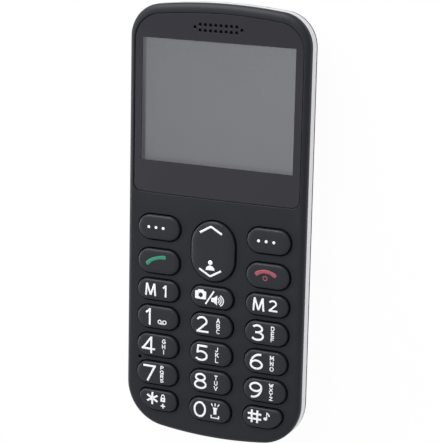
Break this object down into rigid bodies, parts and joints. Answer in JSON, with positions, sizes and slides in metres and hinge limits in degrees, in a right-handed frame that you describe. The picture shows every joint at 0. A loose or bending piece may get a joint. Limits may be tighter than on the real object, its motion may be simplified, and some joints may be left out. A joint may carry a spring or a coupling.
{
  "type": "feature phone",
  "caption": "Bar phone with a display window over large separate crowned keys, a silver band round its waist and a sliding battery cover.",
  "frame": {"origin": "under the middle of the phone, on the surface that it lies on", "axes": "+X to the right across the keys, +Y towards the earpiece, +Z from the back to the keys"},
  "size_m": [0.0574, 0.1316, 0.0142],
  "materials": {
    "housing_plastic": "fine matte mould texture",
    "key_plastic": "satin with printed signs",
    "window_plastic": "clear smoke tint, printed black behind the border",
    "trim_lacquer": "satin silver lacquer",
    "display_glass": "unlit grey",
    "sheet_steel": "plain rolled sheet",
    "spring_steel": "bright",
    "screw_steel": "blackened zinc",
    "contact_gold": "gold flash",
    "antenna_copper": "bare",
    "board_laminate": "solder mask",
    "clear_film": "clear",
    "silicone": "matte",
    "black_rubber": "matte",
    "adhesive_foam": "matte",
    "mesh_cloth": "fine black weave",
    "capsule_plastic": "moulded",
    "battery_wrap": "satin film",
    "camera_glass": "coated",
    "lamp_resin": "cast",
    "clear_plastic": "polished"
  },
  "bodies": {
    "phone": {"front_housing": "housing_plastic", "rear_housing": "housing_plastic", "display_window": "window_plastic", "window_adhesive": "adhesive_foam", "earpiece_mesh": "mesh_cloth", "receiver": "capsule_plastic", "display_panel": "display_glass", "display_tray": "sheet_steel", "trim_band": "trim_lacquer", "battery": "battery_wrap", "battery_connector": "capsule_plastic", "battery_contacts": "contact_gold", "sim_holder": "sheet_steel", "memory_card_socket": "sheet_steel", "main_board": "board_laminate", "shield_can": "sheet_steel", "dome_film": "clear_film", "metal_domes": "spring_steel", "keypad_membrane": "silicone", "microphone": "sheet_steel", "microphone_boot": "black_rubber", "loudspeaker": "capsule_plastic", "loudspeaker_mesh": "mesh_cloth", "camera_module": "capsule_plastic", "camera_window": "camera_glass", "torch_lamp": "lamp_resin", "torch_light_pipe": "clear_plastic", "usb_socket": "sheet_steel", "vibration_motor": "sheet_steel", "antenna": "antenna_copper", "housing_screws": "screw_steel"},
    "battery_cover": {"battery_cover": "housing_plastic"},
    "key_rocker": {"key_rocker": "key_plastic"},
    "key_soft_left": {"key_soft_left": "key_plastic"},
    "key_soft_right": {"key_soft_right": "key_plastic"},
    "key_call": {"key_call": "key_plastic"},
    "key_end": {"key_end": "key_plastic"},
    "key_m1": {"key_m1": "key_plastic"},
    "key_camera": {"key_camera": "key_plastic"},
    "key_m2": {"key_m2": "key_plastic"},
    "key_1": {"key_1": "key_plastic"},
    "key_2": {"key_2": "key_plastic"},
    "key_3": {"key_3": "key_plastic"},
    "key_4": {"key_4": "key_plastic"},
    "key_5": {"key_5": "key_plastic"},
    "key_6": {"key_6": "key_plastic"},
    "key_7": {"key_7": "key_plastic"},
    "key_8": {"key_8": "key_plastic"},
    "key_9": {"key_9": "key_plastic"},
    "key_star": {"key_star": "key_plastic"},
    "key_0": {"key_0": "key_plastic"},
    "key_hash": {"key_hash": "key_plastic"}
  },
  "joints": [
    {"name": "cover_slide", "type": "slide", "parent": "phone", "child": "battery_cover", "axis": [0, -1, 0], "range_m": [0, 0.01]},
    {"name": "rocker_tilt", "type": "hinge", "parent": "phone", "child": "key_rocker", "pos_m": [0, -0.00732, 0.0109], "axis": [1, 0, 0], "range_deg": [-2.4, 2.4], "stiffness_Nm_per_rad": 0.2},
    {"name": "press_soft_left", "type": "slide", "parent": "phone", "child": "key_soft_left", "axis": [0, 0, -1], "range_m": [0, 0.0004], "stiffness_N_per_m": 1500, "springref_m": -0.0008},
    {"name": "press_soft_right", "type": "slide", "parent": "phone", "child": "key_soft_right", "axis": [0, 0, -1], "range_m": [0, 0.0004], "stiffness_N_per_m": 1500, "springref_m": -0.0008},
    {"name": "press_call", "type": "slide", "parent": "phone", "child": "key_call", "axis": [0, 0, -1], "range_m": [0, 0.0004], "stiffness_N_per_m": 1500, "springref_m": -0.0008},
    {"name": "press_end", "type": "slide", "parent": "phone", "child": "key_end", "axis": [0, 0, -1], "range_m": [0, 0.0004], "stiffness_N_per_m": 1500, "springref_m": -0.0008},
    {"name": "press_m1", "type": "slide", "parent": "phone", "child": "key_m1", "axis": [0, 0, -1], "range_m": [0, 0.0004], "stiffness_N_per_m": 1500, "springref_m": -0.0008},
    {"name": "press_camera", "type": "slide", "parent": "phone", "child": "key_camera", "axis": [0, 0, -1], "range_m": [0, 0.0004], "stiffness_N_per_m": 1500, "springref_m": -0.0008},
    {"name": "press_m2", "type": "slide", "parent": "phone", "child": "key_m2", "axis": [0, 0, -1], "range_m": [0, 0.0004], "stiffness_N_per_m": 1500, "springref_m": -0.0008},
    {"name": "press_1", "type": "slide", "parent": "phone", "child": "key_1", "axis": [0, 0, -1], "range_m": [0, 0.0004], "stiffness_N_per_m": 1500, "springref_m": -0.0008},
    {"name": "press_2", "type": "slide", "parent": "phone", "child": "key_2", "axis": [0, 0, -1], "range_m": [0, 0.0004], "stiffness_N_per_m": 1500, "springref_m": -0.0008},
    {"name": "press_3", "type": "slide", "parent": "phone", "child": "key_3", "axis": [0, 0, -1], "range_m": [0, 0.0004], "stiffness_N_per_m": 1500, "springref_m": -0.0008},
    {"name": "press_4", "type": "slide", "parent": "phone", "child": "key_4", "axis": [0, 0, -1], "range_m": [0, 0.0004], "stiffness_N_per_m": 1500, "springref_m": -0.0008},
    {"name": "press_5", "type": "slide", "parent": "phone", "child": "key_5", "axis": [0, 0, -1], "range_m": [0, 0.0004], "stiffness_N_per_m": 1500, "springref_m": -0.0008},
    {"name": "press_6", "type": "slide", "parent": "phone", "child": "key_6", "axis": [0, 0, -1], "range_m": [0, 0.0004], "stiffness_N_per_m": 1500, "springref_m": -0.0008},
    {"name": "press_7", "type": "slide", "parent": "phone", "child": "key_7", "axis": [0, 0, -1], "range_m": [0, 0.0004], "stiffness_N_per_m": 1500, "springref_m": -0.0008},
    {"name": "press_8", "type": "slide", "parent": "phone", "child": "key_8", "axis": [0, 0, -1], "range_m": [0, 0.0004], "stiffness_N_per_m": 1500, "springref_m": -0.0008},
    {"name": "press_9", "type": "slide", "parent": "phone", "child": "key_9", "axis": [0, 0, -1], "range_m": [0, 0.0004], "stiffness_N_per_m": 1500, "springref_m": -0.0008},
    {"name": "press_star", "type": "slide", "parent": "phone", "child": "key_star", "axis": [0, 0, -1], "range_m": [0, 0.0004], "stiffness_N_per_m": 1500, "springref_m": -0.0008},
    {"name": "press_0", "type": "slide", "parent": "phone", "child": "key_0", "axis": [0, 0, -1], "range_m": [0, 0.0004], "stiffness_N_per_m": 1500, "springref_m": -0.0008},
    {"name": "press_hash", "type": "slide", "parent": "phone", "child": "key_hash", "axis": [0, 0, -1], "range_m": [0, 0.0004], "stiffness_N_per_m": 1500, "springref_m": -0.0008}
  ]
}
